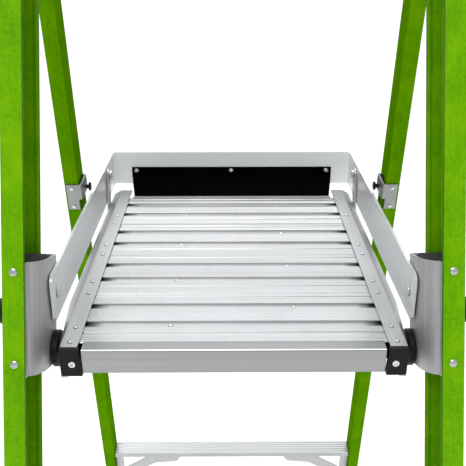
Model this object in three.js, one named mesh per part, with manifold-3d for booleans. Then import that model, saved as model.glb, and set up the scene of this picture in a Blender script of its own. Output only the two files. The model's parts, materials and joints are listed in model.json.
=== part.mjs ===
// Platform step ladder: two leaning front rails with steps, a pair of rear rails hinged near
// the top, and a ribbed platform with a U-shaped guard bar between them.
// Units are millimetres, +Z is up, the climber stands at -Y and faces +Y.
import * as THREE from "three";
import { mergeVertices } from "three/addons/utils/BufferGeometryUtils.js";
import Module from "manifold-3d";

const wasm = await Module();
wasm.setup();

// ---- driving dimensions -------------------------------------------------------------------
const DECK_HEIGHT = 1219;            // top of the platform above the floor
const DECK_FRONT_Y = -175.02;        // platform front edge, measured from the middle of the base
const FRONT_LEAN = 17.6;             // degrees from vertical, towards +Y going up
const REAR_LEAN = -14.8;             // degrees from vertical, towards -Y going up
const FLARE = 1.2;                   // degrees that every rail splays outwards going down
const GAP = 0.4;                     // clearance between pieces that touch
const ROUND = 28;                    // segments round a circle

const FRONT_RAIL = { x: 251.2, y: -22.3, flange: 26.4, depth: 80.5, wall: 4.5 };
const REAR_RAIL = { x: 253.1, y: 373.9, flange: 22, depth: 46, wall: 4 };
const RAIL_CUT_Z = -DECK_HEIGHT + 20;    // both rail pairs end level, just above their feet
const FRONT_RAIL_TOP_Z = 585;
const HINGE = { y: 266.1, z: 525 };      // axis that the rear frame folds about

const STEP_SPACING = 304.8;
const STEP_COUNT = 3;
const STEP = { wall: 2.6, skirt: 28, ribs: 9, ribHeight: 1.2, shelf: 7.1, depth: 70.3 };

const DECK = { rear: 551, firstJoint: 9, pitch: 127, planks: 4, plankHalf: 206, plankDeep: 25 };
const NOSE = 12.7;                   // how far the front beam stands forward of the first plank
const SIDE_RAIL = { inner: 191.3, ridge: 212.4, outer: 225.6, top: 3.5, bottom: -41, wall: 3 };
const SIDE_TAPER = { length: 120, inset: 10.6 };
const BEAM_HALF = 186.2;
const PLATFORM_PIVOT = { y: 60, z: -40 };
const GUARD_PIVOT = { y: 82.5, z: 33 };
const PIVOT_BORE = 9.4;
const BOLT_BORE = 6.9;

const GUARD = { half: 234.5, thick: 4, low: 0.5, high: 65, front: 58, rear: 603, bend: 9 };
const LINK_TOP = { y: 511, z: 49 };
const LINK_LOW = {
  y: LINK_TOP.y + PLATFORM_PIVOT.y - GUARD_PIVOT.y,
  z: LINK_TOP.z + PLATFORM_PIVOT.z - GUARD_PIVOT.z,
};

const GLIDE = { y: 376, z: 74 };

const BRACKET = { low: -33, high: 110, wall: 3 };
const REAR_BRACES = [{ name: "upper", z: -632 }, { name: "lower", z: -1040 }];

// ---- finishes -------------------------------------------------------------------------------
const finish = (color, roughness, metalness) =>
  new THREE.MeshStandardMaterial({ color, roughness, metalness });
const fibreglass = finish(0x5f9a12, 0.45, 0);
const rearFibreglass = finish(0x4f860f, 0.45, 0);
const aluminium = finish(0xc9cbcc, 0.4, 0.9);
const steel = finish(0x9a9c9e, 0.45, 0.9);
const blackPlastic = finish(0x232323, 0.55, 0);
const rubber = finish(0x0a0a0a, 0.8, 0);

// ---- geometry helpers -----------------------------------------------------------------------
const outline = (points) => new THREE.Shape(points.map(([a, b]) => new THREE.Vector2(a, b)));
const ringHole = (a, b, radius) => new THREE.Path().absarc(a, b, radius, 0, 2 * Math.PI, true);

function extrude(shape, depth, steps = 1) {
  return new THREE.ExtrudeGeometry(shape, {
    depth, steps, bevelEnabled: false, curveSegments: ROUND / 4,
  });
}

// An outline drawn in (Y, Z) and swept along +X from x0 to x1.
function sweepX(shape, x0, x1, steps = 1) {
  const swap = new THREE.Matrix4().set(0, 0, 1, x0, 1, 0, 0, 0, 0, 1, 0, 0, 0, 0, 0, 1);
  return extrude(shape, x1 - x0, steps).applyMatrix4(swap);
}

// An outline drawn in (X, Z) and swept along +Y from y0 to y1.
function sweepY(shape, y0, y1, steps = 1) {
  const turn = new THREE.Matrix4().set(1, 0, 0, 0, 0, 0, -1, y1, 0, 1, 0, 0, 0, 0, 0, 1);
  return extrude(shape, y1 - y0, steps).applyMatrix4(turn);
}

// An outline drawn in (X, Y) and swept along +Z from z0 to z1.
const sweepZ = (shape, z0, z1, steps = 1) => extrude(shape, z1 - z0, steps).translate(0, 0, z0);

function box(x0, x1, y0, y1, z0, z1) {
  return new THREE.BoxGeometry(x1 - x0, y1 - y0, z1 - z0)
    .translate((x0 + x1) / 2, (y0 + y1) / 2, (z0 + z1) / 2);
}

// A round pin along X.
function pinX(radius, x0, x1, y, z, segments = ROUND) {
  return new THREE.CylinderGeometry(radius, radius, x1 - x0, segments)
    .rotateZ(Math.PI / 2).translate((x0 + x1) / 2, y, z);
}

function bare(geometry) {
  const copy = geometry.clone();
  copy.deleteAttribute("normal");
  copy.deleteAttribute("uv");
  return mergeVertices(copy, 1e-4);
}

function solid(geometry) {
  const merged = bare(geometry);
  return new wasm.Manifold(new wasm.Mesh({
    numProp: 3,
    vertProperties: new Float32Array(merged.attributes.position.array),
    triVerts: new Uint32Array(merged.index.array),
  }));
}

function fromSolid(shape) {
  const mesh = shape.getMesh();
  const geometry = new THREE.BufferGeometry();
  geometry.setAttribute("position", new THREE.BufferAttribute(mesh.vertProperties, 3));
  geometry.setIndex(new THREE.BufferAttribute(mesh.triVerts, 1));
  geometry.computeVertexNormals();
  return geometry;
}

const join = (...parts) => fromSolid(parts.map(solid).reduce((a, b) => a.add(b)));
const cut = (base, ...tools) => fromSolid(tools.map(solid).reduce((a, b) => a.subtract(b), solid(base)));
const common = (a, b) => fromSolid(solid(a).intersect(solid(b)));

function mirrorX(geometry) {
  const copy = bare(geometry).scale(-1, 1, 1);
  const index = copy.index.array;
  for (let i = 0; i < index.length; i += 3) [index[i], index[i + 1]] = [index[i + 1], index[i]];
  copy.computeVertexNormals();
  return copy;
}

// Moves the vertices of a straight extrusion along Z so that its ends lie in level planes.
function levelEnds(geometry, lean, lowZ, highZ) {
  const t = Math.tan(THREE.MathUtils.degToRad(lean));
  const c = Math.cos(THREE.MathUtils.degToRad(lean)) * Math.cos(THREE.MathUtils.degToRad(FLARE));
  const position = geometry.attributes.position;
  for (let i = 0; i < position.count; i += 1) {
    const end = position.getZ(i) < 0.5 ? lowZ : highZ;
    position.setZ(i, end / c + position.getY(i) * t);
  }
  return geometry;
}

// ---- scene graph ----------------------------------------------------------------------------
const ladder = new THREE.Group();
const deckFrame = new THREE.Group();
deckFrame.position.set(0, DECK_FRONT_Y, DECK_HEIGHT);
ladder.add(deckFrame);

function add(parent, name, geometry, material) {
  const mesh = new THREE.Mesh(geometry, material);
  mesh.name = name;
  parent.add(mesh);
}

// A rail's own frame: X outwards, Y rearwards across the rail, Z up along it.
function railFrame(side, rail, lean) {
  const a = THREE.MathUtils.degToRad(lean);
  const f = THREE.MathUtils.degToRad(FLARE);
  const along = new THREE.Vector3(
    -side * Math.sin(f), Math.sin(a) * Math.cos(f), Math.cos(a) * Math.cos(f));
  const across = new THREE.Vector3(0, Math.cos(a), -Math.sin(a));
  const outwards = new THREE.Vector3().crossVectors(across, along);
  const frame = new THREE.Group();
  frame.quaternion.setFromRotationMatrix(new THREE.Matrix4().makeBasis(outwards, across, along));
  frame.position.set(side * rail.x, rail.y, 0);
  deckFrame.add(frame);
  return frame;
}

const SIDES = [["right", 1], ["left", -1]];
const frontFrames = Object.fromEntries(
  SIDES.map(([word, side]) => [word, railFrame(side, FRONT_RAIL, FRONT_LEAN)]));
const rearFrames = Object.fromEntries(
  SIDES.map(([word, side]) => [word, railFrame(side, REAR_RAIL, REAR_LEAN)]));
const straight = { right: deckFrame, left: deckFrame };

// Adds a right-hand piece and its mirror image.
function addPair(frames, name, geometry, material) {
  add(frames.right, `${name}_right`, geometry, material);
  add(frames.left, `${name}_left`, mirrorX(geometry), material);
}

const tangent = (degrees) => Math.tan(THREE.MathUtils.degToRad(degrees));
const flareShift = (z) => -z * tangent(FLARE) / Math.cos(THREE.MathUtils.degToRad(FRONT_LEAN));

// Converts a point of the deck frame (y, z) to a rail's own (across, along) coordinates.
function onRail(rail, lean, y, z) {
  const a = THREE.MathUtils.degToRad(lean);
  return {
    across: (y - rail.y) * Math.cos(a) - z * Math.sin(a),
    along: (y - rail.y) * Math.sin(a) + z * Math.cos(a),
  };
}

// ---- rails ----------------------------------------------------------------------------------
function channelRail(rail, lean, lowZ, highZ, webInside = false) {
  const { flange, depth, wall } = rail;
  const lip = 1.6;                       // the free edges are slightly thicker, as pultruded
  const points = [
    [0, 0], [flange, 0], [flange, depth], [0, depth], [0, depth - wall - lip],
    [4, depth - wall - lip], [7, depth - wall], [flange - wall - 2, depth - wall],
    [flange - wall, depth - wall - 2], [flange - wall, wall + 2], [flange - wall - 2, wall],
    [7, wall], [4, wall + lip], [0, wall + lip],
  ];
  const turned = points.map(([x, y]) => [flange - x, y]).reverse();
  return levelEnds(extrude(outline(webInside ? turned : points), 1), lean, lowZ, highZ);
}

const frontRail = () => channelRail(FRONT_RAIL, FRONT_LEAN, RAIL_CUT_Z, FRONT_RAIL_TOP_Z);

function rearRail() {
  const pivot = onRail(REAR_RAIL, REAR_LEAN, HINGE.y, HINGE.z);
  const topEnd = HINGE.z + 18;
  const rail = channelRail(REAR_RAIL, REAR_LEAN, RAIL_CUT_Z, topEnd, true);
  const bore = pinX(BOLT_BORE, -20, 40, pivot.across, pivot.along);
  // the front corner of the top end is cut off to clear the front rail
  const corner = sweepX(outline([
    [-5, pivot.along - 12], [26, pivot.along + 14], [26, pivot.along + 40], [-5, pivot.along + 40],
  ].reverse()), -5, 40);
  return cut(rail, bore, corner);
}

addPair(frontFrames, "front_rail", frontRail(), fibreglass);
addPair(rearFrames, "rear_rail", rearRail(), rearFibreglass);

// ---- steps ----------------------------------------------------------------------------------
const leanShift = tangent(FRONT_LEAN);
const stepFrontY = (z) => FRONT_RAIL.y + z * leanShift + STEP.shelf;
const webInnerX = (z) => FRONT_RAIL.x + flareShift(z) + FRONT_RAIL.flange - FRONT_RAIL.wall;

function stepTread(top) {
  const y0 = stepFrontY(top);
  const y1 = y0 + STEP.depth;
  const drop = (y, down) => [y - down * leanShift, top - down];
  const points = [drop(y0, STEP.skirt), drop(y0, 0)];
  const pitch = (STEP.depth - 6) / STEP.ribs;
  for (let i = 0; i < STEP.ribs; i += 1) {
    const y = y0 + 3 + pitch * i;
    points.push([y + pitch * 0.2, top], [y + pitch * 0.35, top + STEP.ribHeight]);
    points.push([y + pitch * 0.65, top + STEP.ribHeight], [y + pitch * 0.8, top]);
  }
  points.push(drop(y1, 0), drop(y1, STEP.skirt), drop(y1 - 9, STEP.skirt));
  points.push(drop(y1 - 9, STEP.skirt - STEP.wall), drop(y1 - STEP.wall, STEP.skirt - STEP.wall));
  points.push(drop(y1 - STEP.wall, STEP.wall), drop(y0 + STEP.wall, STEP.wall));
  points.push(drop(y0 + STEP.wall, STEP.skirt - STEP.wall), drop(y0 + 9, STEP.skirt - STEP.wall));
  points.push(drop(y0 + 9, STEP.skirt));
  const half = webInnerX(top) - 1.2;
  return sweepX(outline(points.reverse()), -half, half);
}

// A strip bent at both ends: flat under the tread, diagonal, then flat on the rail's web.
function stepBrace(top) {
  const high = top - STEP.wall - GAP;
  const foot = top - 92;
  const web = webInnerX(foot) - 1.2;
  const t = 3;
  const shape = outline([
    [186, high - t], [212, high - t], [web - t - 2, foot + 24], [web - t, foot + 18],
    [web - t, foot], [web, foot], [web, foot + 20], [web - 2, foot + 28],
    [214, high], [186, high],
  ]);
  const middle = stepFrontY(top) + STEP.depth / 2 - 12;
  return sweepY(shape, middle - 14, middle + 14);
}

for (let i = 1; i <= STEP_COUNT; i += 1) {
  const top = -DECK_HEIGHT + STEP_SPACING * i;
  add(deckFrame, `front_step_${i}`, stepTread(top), aluminium);
  addPair(straight, `step_brace_${i}`, stepBrace(top), steel);
}

// ---- feet -----------------------------------------------------------------------------------
// Every foot is a rubber pad under a bent shoe plate that stands against the rail's web.
function footShoe(rail, y0, y1) {
  const out = rail.x + flareShift(RAIL_CUT_Z) + rail.flange + 1.6;
  const sole = RAIL_CUT_Z - 0.6;
  const shape = outline([
    [out - rail.flange - 6, sole - 3], [out + 3, sole - 3], [out + 3, sole + 62],
    [out, sole + 62], [out, sole], [out - rail.flange - 6, sole],
  ]);
  const plate = sweepY(shape, y0, y1);
  // the flare of the rail is followed by leaning the upright
  const position = plate.attributes.position;
  for (let i = 0; i < position.count; i += 1) {
    if (position.getZ(i) > sole + 10) position.setX(i, position.getX(i) + flareShift(62));
  }
  return plate;
}

function footPad(rail, y0, y1) {
  const out = rail.x + flareShift(RAIL_CUT_Z) + rail.flange + 4.6;
  const top = RAIL_CUT_Z - 4;
  return sweepX(outline([
    [y0 + 3, -DECK_HEIGHT], [y1 - 3, -DECK_HEIGHT], [y1, -DECK_HEIGHT + 4], [y1, top],
    [y0, top], [y0, -DECK_HEIGHT + 4],
  ]), out - rail.flange - 12, out);
}

const frontFootY = FRONT_RAIL.y + RAIL_CUT_Z * leanShift;
const rearFootY = REAR_RAIL.y + RAIL_CUT_Z * tangent(REAR_LEAN);
addPair(straight, "front_foot_shoe", footShoe(FRONT_RAIL, frontFootY - 4, frontFootY + 88), steel);
addPair(straight, "front_foot_pad", footPad(FRONT_RAIL, frontFootY - 8, frontFootY + 92), rubber);
addPair(straight, "rear_foot_shoe", footShoe(REAR_RAIL, rearFootY - 4, rearFootY + 66), steel);
addPair(straight, "rear_foot_pad", footPad(REAR_RAIL, rearFootY - 8, rearFootY + 70), rubber);

// ---- platform brackets on the front rails -----------------------------------------------------
// A hollow extrusion cut square to the rail. It fills the rail's channel, curves out of its mouth
// to a flat inner wall that carries both pivots, and ends a little behind the rail.
function platformBracket() {
  const { flange, depth, wall } = FRONT_RAIL;
  const w = BRACKET.wall;
  const lip = wall + 1.6 + GAP;                 // clears the flanges' thick free edges
  const deep = flange - wall - 4;
  const inner = -13.6;
  const back = 109;
  const tail = 2;
  const edge = -0.5;
  const curve = (inset) => new THREE.CubicBezierCurve(
    new THREE.Vector2(4.5, 28 + inset), new THREE.Vector2(-5, 31 + inset),
    new THREE.Vector2(inner + inset, 44 + inset), new THREE.Vector2(inner + inset, 78),
  ).getPoints(12).map((p) => [p.x, p.y]);
  const outer = [
    ...curve(0), [inner, back - 4], [inner + 1, back - 1], [inner + 4, back], [tail, back],
    [tail, depth + GAP], [edge, depth + GAP], [edge, depth - lip], [deep, depth - lip],
    [deep, lip], [5, lip], [4.5, lip + 4],
  ];
  const hollow = [
    ...curve(w), [inner + w, back - w - 2], [inner + w + 2, back - w], [tail - w, back - w],
    [tail - w, depth + GAP + w], [edge - w, depth + GAP + w], [edge - w, depth - lip - w],
    [deep - w, depth - lip - w], [deep - w, lip + w], [8, lip + w],
  ];
  const shell = cut(sweepZ(outline(outer.reverse()), BRACKET.low, BRACKET.high),
    sweepZ(outline(hollow.reverse()), BRACKET.low - 5, BRACKET.high + 5));
  const low = onRail(FRONT_RAIL, FRONT_LEAN, PLATFORM_PIVOT.y, PLATFORM_PIVOT.z);
  const high = onRail(FRONT_RAIL, FRONT_LEAN, GUARD_PIVOT.y, GUARD_PIVOT.z);
  return cut(shell,
    pinX(PIVOT_BORE, inner - 5, inner + 8, low.across, low.along),
    pinX(BOLT_BORE, inner - 5, inner + 8, high.across, high.along));
}

addPair(frontFrames, "platform_bracket", platformBracket(), steel);

function guardPivotBolt() {
  const inside = GUARD.half - GUARD.thick;
  const head = pinX(8.6, inside - 2, inside - GAP, GUARD_PIVOT.y, GUARD_PIVOT.z);
  const shank = pinX(6, inside - 2, 245, GUARD_PIVOT.y, GUARD_PIVOT.z);
  const nut = pinX(8, 240.4, 245, GUARD_PIVOT.y, GUARD_PIVOT.z, 6);
  return join(head, shank, nut);
}

addPair(straight, "guard_pivot_bolt", guardPivotBolt(), steel);

// ---- top cap and rear hinge -------------------------------------------------------------------
function topCap() {
  const low = FRONT_RAIL_TOP_Z + 1;
  const high = low + 32;
  const shell = box(-276, 276, 146, 296, low, high);
  const tray = box(-262, 262, 160, 282, low + 6, high + 5);
  const skirtShape = outline([[146, low + 2], [146, low - 24], [150, low - 26], [152, low + 2]]);
  const front = sweepX(skirtShape, -276, 276);
  const right = box(272, 276, 147, 296, low - 24, low + 2);
  const left = box(-276, -272, 147, 296, low - 24, low + 2);
  const back = box(-276, 276, 293, 296, low - 10, low + 2);
  const divider = box(-3, 3, 158, 284, low + 4, high - 6);
  return join(cut(shell, tray), front, right, left, back, divider);
}

add(deckFrame, "top_cap", topCap(), blackPlastic);

function hingePlate() {
  const pivot = onRail(FRONT_RAIL, FRONT_LEAN, HINGE.y, HINGE.z);
  const x0 = FRONT_RAIL.flange + GAP;
  const shape = new THREE.Shape();
  shape.moveTo(12, pivot.along - 20);
  shape.lineTo(pivot.across, pivot.along - 20);
  shape.absarc(pivot.across, pivot.along, 20, -Math.PI / 2, Math.PI / 2, false);
  shape.lineTo(12, pivot.along + 12);
  shape.closePath();
  shape.holes.push(ringHole(pivot.across, pivot.along, BOLT_BORE));
  return sweepX(shape, x0, x0 + 3);
}

addPair(frontFrames, "top_hinge_plate", hingePlate(), steel);

function hingePin() {
  const shank = pinX(6, 236, 271, HINGE.y, HINGE.z);
  const head = pinX(9, 270, 273.5, HINGE.y, HINGE.z);
  const nut = pinX(9, 234.5, 240.6, HINGE.y, HINGE.z, 6);
  return join(shank, head, nut);
}

addPair(straight, "top_hinge_pin", hingePin(), steel);

// ---- rear frame: braces, gussets, glide brackets ------------------------------------------------
const rearShift = -tangent(REAR_LEAN);
const rearFrontY = (z) => REAR_RAIL.y - z * rearShift;
const rearWebX = (z) => REAR_RAIL.x + flareShift(z);

function rearBrace(top) {
  const lip = 11;
  const y0 = rearFrontY(top - lip) + 6.4;
  const y1 = y0 + 39;
  const t = 2.6;
  const points = [[y0, top - lip], [y0, top]];
  const pitch = 35 / 5;
  for (let i = 0; i < 5; i += 1) {
    const y = y0 + 2 + pitch * i;
    points.push([y + 2, top], [y + 3, top + 1.2], [y + 5, top + 1.2], [y + 6, top]);
  }
  points.push([y1, top], [y1, top - lip], [y1 - t, top - lip], [y1 - t, top - t]);
  points.push([y0 + t, top - t], [y0 + t, top - lip]);
  const half = rearWebX(top) - 1.2;
  return sweepX(outline(points.reverse()), -half, half);
}

// A stamped triangular gusset behind the brace's front lip, with a window and folded edges. It
// leans with the rail, so its outline is given as (x from the rail's edge, height in the frame).
function rearGusset(top) {
  const across = 12.4;
  const lean = THREE.MathUtils.degToRad(REAR_LEAN);
  const flare = THREE.MathUtils.degToRad(FLARE);
  const at = (x, z) => [x, (z + across * Math.sin(lean) - x * Math.sin(flare) * Math.cos(lean))
    / (Math.cos(lean) * Math.cos(flare))];
  const web = -GAP;
  const tip = -157;
  const high = top - 3.4;
  const plate = sweepY(outline([
    at(tip, high), at(web, high), at(web, top - 96), at(web - 14, top - 96),
    at(tip + 66, top - 40), at(tip + 16, top - 34),
  ].reverse()), across, across + 2.4);
  const window = sweepY(outline([
    at(tip + 84, top - 18), at(web - 18, top - 18), at(web - 18, top - 60),
  ].reverse()), across - 1, across + 4);
  const fold = sweepY(outline([
    at(web - 2.4, top - 96), at(web, top - 96), at(web, top - 16), at(web - 2.4, top - 16),
  ]), across, across + 24);
  const edge = sweepY(outline([
    at(tip + 16, top - 34), at(tip + 66, top - 40), at(tip + 66, top - 37.6),
    at(tip + 16, top - 31.6),
  ]), across, across + 9);
  return cut(join(plate, fold, edge), window);
}

for (const { name, z } of REAR_BRACES) {
  add(deckFrame, `rear_brace_${name}`, rearBrace(z), aluminium);
  addPair(rearFrames, `rear_gusset_${name}`, rearGusset(z), steel);
}

// A stamped bracket on each rear rail: a riveted face plate whose inner edge turns back as a cheek
// beside the rail, with a short return behind. The cheek carries the glide of the guard bar, and
// starts above the platform bracket that it passes when the ladder is folded.
function rearBracket() {
  const plate = sweepZ(outline([[0.6, -3], [19, -3], [19, -GAP], [0.6, -GAP]]), 40.5, 89.5);
  const cheek = sweepZ(outline([
    [-4.4, -3], [2, -3], [2, -GAP], [-2.8, -GAP], [-5.9, 29.4], [-0.6, 29.4], [-0.6, 32],
    [-7.6, 32], [-8.7, 31], [-5.4, -2],
  ]), 61, 89.5);
  return join(plate, cheek);
}

addPair(rearFrames, "rear_bracket", rearBracket(), steel);

const guardGlide = () => join(
  pinX(7, GUARD.half + 0.8, 238.6, GLIDE.y, GLIDE.z), pinX(3.4, 238, 243.2, GLIDE.y, GLIDE.z));

addPair(straight, "guard_glide", guardGlide(), blackPlastic);

// ---- platform -----------------------------------------------------------------------------------
function sideRail() {
  const { inner, ridge, outer, top, bottom, wall } = SIDE_RAIL;
  const shape = outline([
    [inner, top - 2.6], [inner, top], [ridge, top], [outer, top - 7], [outer, bottom],
    [outer - 20, bottom], [outer - 20, bottom + wall], [outer - wall, bottom + wall],
    [outer - wall, top - 8.6], [ridge - 1, top - 2.6],
  ].reverse());
  const rail = sweepY(shape, -7, DECK.rear, 9);
  const position = rail.attributes.position;
  for (let i = 0; i < position.count; i += 1) {
    const near = Math.max(0, 1 - position.getY(i) / SIDE_TAPER.length);
    if (position.getX(i) > ridge + 3) position.setX(i, position.getX(i) - SIDE_TAPER.inset * near);
  }
  const stud = pinX(4, outer - 2, outer + 4.4, LINK_LOW.y, LINK_LOW.z);
  return cut(join(rail, stud), pinX(8.4, outer - 20, outer + 10, PLATFORM_PIVOT.y, -30));
}

addPair(straight, "platform_side_rail", sideRail(), aluminium);

// One hollow-backed plank: flat bands with fine ribs between two deep grooves and two shallow ones.
function plank(y0) {
  const y1 = y0 + DECK.pitch - GAP;
  const deep = -DECK.plankDeep;
  const t = 2.6;
  const rib = { pitch: 5.4, high: 0.45 };
  const grooves = [
    { at: 23, half: 1.6, down: 1.4 }, { at: 45, half: 7, down: 2.6 },
    { at: 92, half: 7, down: 2.6 }, { at: 117.5, half: 1.6, down: 1.4 },
  ];
  const points = [[y0, deep], [y0, -1], [y0 + 1, 0]];
  let from = y0 + 2.5;
  const ribsUpTo = (end) => {
    for (let y = from; y + rib.pitch <= end; y += rib.pitch) {
      points.push([y + 1.2, 0], [y + 1.8, rib.high], [y + 4.2, rib.high], [y + 4.8, 0]);
    }
  };
  for (const { at, half, down } of grooves) {
    ribsUpTo(y0 + at - half - 1);
    points.push([y0 + at - half, 0], [y0 + at - half + 0.8, -down]);
    points.push([y0 + at + half - 0.8, -down], [y0 + at + half, 0]);
    from = y0 + at + half + 0.6;
  }
  points.push([y1 - 1, 0], [y1, -1], [y1, deep], [y1 - t, deep], [y1 - t, -6.5]);
  points.push([y0 + t, -6.5], [y0 + t, deep]);
  return sweepX(outline(points.reverse()), -DECK.plankHalf, DECK.plankHalf);
}

for (let i = 0; i < DECK.planks; i += 1) {
  add(deckFrame, `deck_plank_${i + 1}`, plank(DECK.firstJoint + DECK.pitch * i), aluminium);
}

function frontBeam() {
  const rear = DECK.firstJoint - GAP;
  return sweepX(outline([
    [-NOSE, -30.6], [-NOSE, 0.6], [1.4 - NOSE, 2], [rear, 2], [rear, -1], [3 - NOSE, -1],
    [3 - NOSE, -27.6], [26 - NOSE, -27.6], [26 - NOSE, -30.6],
  ].reverse()), -BEAM_HALF, BEAM_HALF);
}

function rearBeam() {
  const front = DECK.firstJoint + DECK.pitch * DECK.planks;
  return sweepX(outline([
    [front, 2], [front + 5, 2], [front + 6, 1], [front + 6, -36], [front + 26, -36],
    [front + 26, -39], [front + 3, -39], [front + 3, -1], [front, -1],
  ].reverse()), -BEAM_HALF, BEAM_HALF);
}

add(deckFrame, "front_beam", frontBeam(), aluminium);
add(deckFrame, "rear_beam", rearBeam(), aluminium);

function stiffener() {
  const top = -DECK.plankDeep - GAP;
  return sweepY(outline([
    [84, top - 3], [110, top - 3], [110, top], [87, top], [87, top - 1], [84, top - 1],
  ]), 34, 500);
}

addPair(straight, "deck_stiffener", stiffener(), aluminium);

// A moulded cap that closes the front corner between the side rail and the front beam.
function cornerCap() {
  const shape = outline([
    [186.6, -31.4], [188.2, -33], [209.4, -33], [212, -30.6], [212.8, -6], [211, 3.4], [192, 4.4],
    [186.6, 4],
  ]);
  return sweepY(shape, -16.5, -7.4);
}

addPair(straight, "corner_cap", cornerCap(), blackPlastic);

// The hub turns with the platform; its stub runs in the bracket's lower bore.
function platformHub() {
  const { y, z } = PLATFORM_PIVOT;
  const profile = [
    [0, 0], [20, 0], [24.5, 3], [24.5, 10], [22.5, 11.4], [9, 11.4], [9, 19], [0, 19],
  ].map(([r, h]) => new THREE.Vector2(r, h));
  return new THREE.LatheGeometry(profile, ROUND).rotateZ(-Math.PI / 2).translate(226, y, z);
}

addPair(straight, "platform_hub", platformHub(), blackPlastic);

// ---- guard bar, flap and rear links ---------------------------------------------------------------
function guardBar() {
  const { half, thick, low, high, front, rear, bend } = GUARD;
  const plan = new THREE.Shape();
  plan.moveTo(-half, front);
  plan.lineTo(-half + thick, front);
  plan.lineTo(-half + thick, rear - bend);
  plan.absarc(-half + bend, rear - bend, bend - thick, Math.PI, Math.PI / 2, true);
  plan.lineTo(half - bend, rear - thick);
  plan.absarc(half - bend, rear - bend, bend - thick, Math.PI / 2, 0, true);
  plan.lineTo(half - thick, front);
  plan.lineTo(half, front);
  plan.lineTo(half, rear - bend);
  plan.absarc(half - bend, rear - bend, bend, 0, Math.PI / 2, false);
  plan.lineTo(-half + bend, rear);
  plan.absarc(-half + bend, rear - bend, bend, Math.PI / 2, Math.PI, false);
  plan.closePath();
  const corner = 14;
  const profile = new THREE.Shape();
  profile.moveTo(rear + 5, low);
  profile.lineTo(rear + 5, high);
  profile.lineTo(front + corner, high);
  profile.absarc(front + corner, high - corner, corner, Math.PI / 2, Math.PI, false);
  profile.absarc(front + 6, low + 6, 6, Math.PI, 1.5 * Math.PI, false);
  profile.closePath();
  const bar = common(sweepZ(plan, low - 5, high + 5), sweepX(profile, -half - 5, half + 5));
  return cut(bar, pinX(6.4, -half - 5, half + 5, GUARD_PIVOT.y, GUARD_PIVOT.z),
    pinX(4.4, -half - 5, half + 5, LINK_TOP.y, LINK_TOP.z));
}

add(deckFrame, "guard_bar", guardBar(), aluminium);

// A rubber flap that hangs inside the guard's crossbar and rests at the platform's rear edge.
function rearFlap() {
  const upper = new THREE.CubicBezierCurve(
    new THREE.Vector2(598.6, 36), new THREE.Vector2(598, 10),
    new THREE.Vector2(568, 1.6), new THREE.Vector2(524.4, 1.4)).getPoints(10);
  const t = 2.4;
  const points = upper.map((p) => [p.x, p.y]);
  for (let i = upper.length - 1; i >= 0; i -= 1) {
    const a = upper[Math.max(0, i - 1)];
    const b = upper[Math.min(upper.length - 1, i + 1)];
    const n = new THREE.Vector2(b.y - a.y, a.x - b.x).normalize();
    points.push([upper[i].x + n.x * t, upper[i].y + n.y * t]);
  }
  const flap = sweepX(outline(points.reverse()), -1, 1);
  const position = flap.attributes.position;
  for (let i = 0; i < position.count; i += 1) {
    const half = 184 + 13 * (position.getY(i) - 524) / 74;
    position.setX(i, Math.sign(position.getX(i)) * half);
  }
  return flap;
}

add(deckFrame, "rear_flap", rearFlap(), rubber);

function rearLink() {
  const x0 = SIDE_RAIL.outer + 0.6;
  const angle = Math.atan2(LINK_TOP.z - LINK_LOW.z, LINK_TOP.y - LINK_LOW.y);
  const r = 11;
  const shape = new THREE.Shape();
  shape.absarc(LINK_LOW.y, LINK_LOW.z, r, angle + Math.PI / 2, angle + 1.5 * Math.PI, false);
  shape.absarc(LINK_TOP.y, LINK_TOP.z, r, angle - Math.PI / 2, angle + Math.PI / 2, false);
  shape.closePath();
  shape.holes.push(ringHole(LINK_LOW.y, LINK_LOW.z, 4.6), ringHole(LINK_TOP.y, LINK_TOP.z, 4.4));
  return sweepX(shape, x0, x0 + 3.6);
}

addPair(straight, "rear_link", rearLink(), steel);

function linkBolt() {
  const shank = pinX(4, SIDE_RAIL.outer - 3, GUARD.half + 0.2, LINK_TOP.y, LINK_TOP.z);
  const head = pinX(7.5, SIDE_RAIL.outer - 4, SIDE_RAIL.outer + 0.2, LINK_TOP.y, LINK_TOP.z);
  return join(shank, head);
}

addPair(straight, "link_bolt", linkBolt(), steel);

export default ladder;
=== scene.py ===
import json
import math

import bpy
from mathutils import Matrix, Vector


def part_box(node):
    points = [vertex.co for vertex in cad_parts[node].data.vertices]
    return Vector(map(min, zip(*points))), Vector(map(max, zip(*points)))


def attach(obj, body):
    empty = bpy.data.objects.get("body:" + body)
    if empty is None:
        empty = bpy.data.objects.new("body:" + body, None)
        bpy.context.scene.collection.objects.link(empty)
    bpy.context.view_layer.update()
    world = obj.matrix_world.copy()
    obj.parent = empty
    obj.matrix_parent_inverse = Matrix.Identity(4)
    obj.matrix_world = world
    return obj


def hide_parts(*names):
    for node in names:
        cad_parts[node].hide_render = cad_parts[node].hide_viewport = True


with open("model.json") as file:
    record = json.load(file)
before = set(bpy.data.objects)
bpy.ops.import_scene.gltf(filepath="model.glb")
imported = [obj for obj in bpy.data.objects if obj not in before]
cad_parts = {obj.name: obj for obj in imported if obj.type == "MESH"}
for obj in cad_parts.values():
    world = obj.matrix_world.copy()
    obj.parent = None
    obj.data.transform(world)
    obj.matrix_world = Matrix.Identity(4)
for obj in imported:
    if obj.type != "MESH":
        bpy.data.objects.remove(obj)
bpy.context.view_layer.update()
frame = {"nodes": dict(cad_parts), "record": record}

bl_info = {
    "name": "Platform Step Ladder",
    "version": (1, 0, 0),
    "blender": (4, 5, 0),
    "location": "View3D > Sidebar > Ladder",
    "description": "Finishes a folding platform step ladder around its packed frame",
    "category": "Object",
}

MM = 0.001
BODY_OF = {node: body for body, nodes in frame["record"]["behaviour"]["bodies"].items() for node in nodes}
SIDES = (("left", -1), ("right", 1))

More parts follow.
